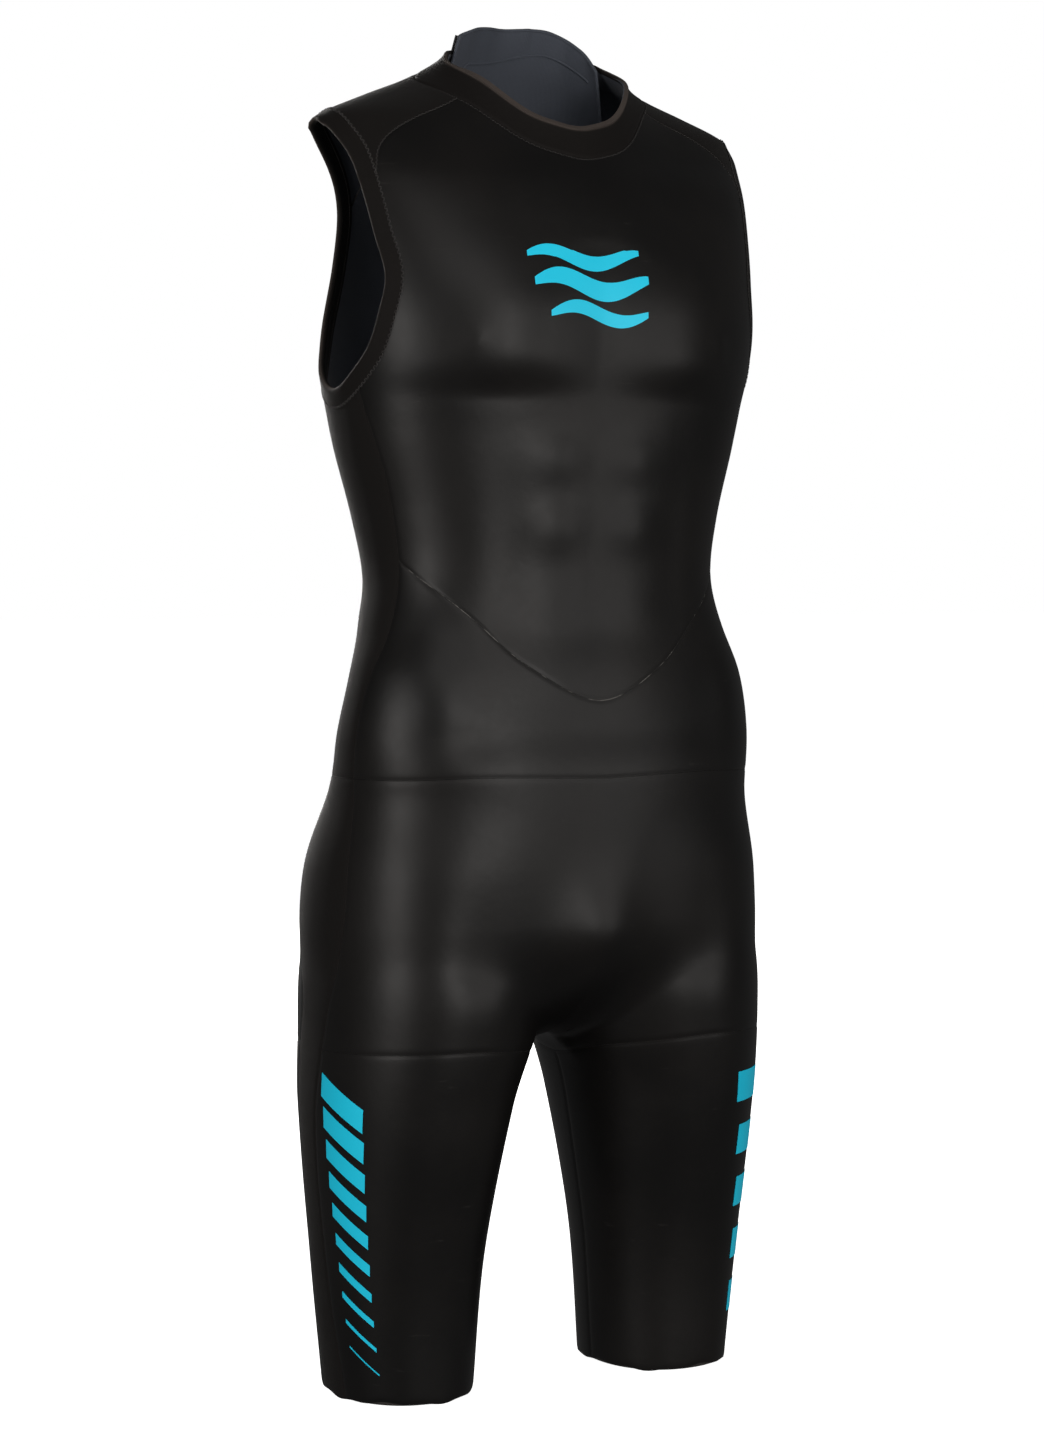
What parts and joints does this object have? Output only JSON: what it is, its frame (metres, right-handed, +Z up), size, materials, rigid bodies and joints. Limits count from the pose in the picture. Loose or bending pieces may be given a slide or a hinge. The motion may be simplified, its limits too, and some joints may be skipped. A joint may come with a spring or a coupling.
{
  "type": "sleeveless short-leg wetsuit",
  "caption": "Sleeveless knee-length neoprene swimming wetsuit in its worn shape, with bound armholes, a low collar with a nape closure tab and an arched back zip.",
  "frame": {"origin": "on the floor plane of the two leg hems, under the middle of the suit's own box", "axes": "+Z up the suit from hems to collar, +X to the wearer's left, +Y out of the wearer's back, where the zip is; the front faces -Y"},
  "size_m": [0.3682, 0.2384, 1.035],
  "materials": {
    "smooth_neoprene": "smooth skin, soft sheen",
    "panel_jersey": "matt stretch jersey over foam",
    "lining_jersey": "fine knitted lining",
    "zip_tape": "woven tape",
    "hook_and_loop": "brushed pile",
    "zip_plastic": "moulded teeth",
    "zip_metal": "dark satin"
  },
  "bodies": {
    "suit": {"abdomen_panel": "smooth_neoprene", "chest_panel": "smooth_neoprene", "closure_loop_patch": "hook_and_loop", "collar_band": "smooth_neoprene", "front_hip_panel": "smooth_neoprene", "left_armhole_binding": "panel_jersey", "left_back_panel": "smooth_neoprene", "left_back_thigh_panel": "smooth_neoprene", "left_front_thigh_panel": "smooth_neoprene", "left_leg_side_panel": "panel_jersey", "left_shoulder_panel": "panel_jersey", "left_side_panel": "panel_jersey", "left_zip_chain": "zip_plastic", "left_zip_tape": "zip_tape", "left_zip_top_stop": "zip_metal", "lower_back_panel": "smooth_neoprene", "neck_inner_flap": "lining_jersey", "right_armhole_binding": "panel_jersey", "right_back_panel": "smooth_neoprene", "right_back_thigh_panel": "smooth_neoprene", "right_front_thigh_panel": "smooth_neoprene", "right_leg_side_panel": "panel_jersey", "right_shoulder_panel": "panel_jersey", "right_side_panel": "panel_jersey", "right_zip_chain": "zip_plastic", "right_zip_tape": "zip_tape", "right_zip_top_stop": "zip_metal", "seat_panel": "smooth_neoprene", "zip_bottom_stop": "zip_metal", "zip_underflap": "lining_jersey"},
    "slider": {"zip_slider": "zip_metal"},
    "pull": {"zip_pull_tab": "zip_metal"},
    "closure": {"collar_closure_tab": "panel_jersey", "closure_hook_patch": "hook_and_loop"}
  },
  "joints": [
    {"name": "zip_travel", "type": "hinge", "parent": "suit", "child": "slider", "pos_m": [0, -0.51404, 0.77985], "axis": [-1, 0, 0], "range_deg": [0, 38.9]},
    {"name": "pull_swing", "type": "hinge", "parent": "slider", "child": "pull", "pos_m": [0, 0.06783, 0.97493], "axis": [1, 0, 0], "range_deg": [0, 156]},
    {"name": "closure_swing", "type": "hinge", "parent": "suit", "child": "closure", "pos_m": [0.02882, 0.04696, 1.01485], "axis": [0.0676, 0.3296, -0.9417], "range_deg": [0, 110]}
  ]
}
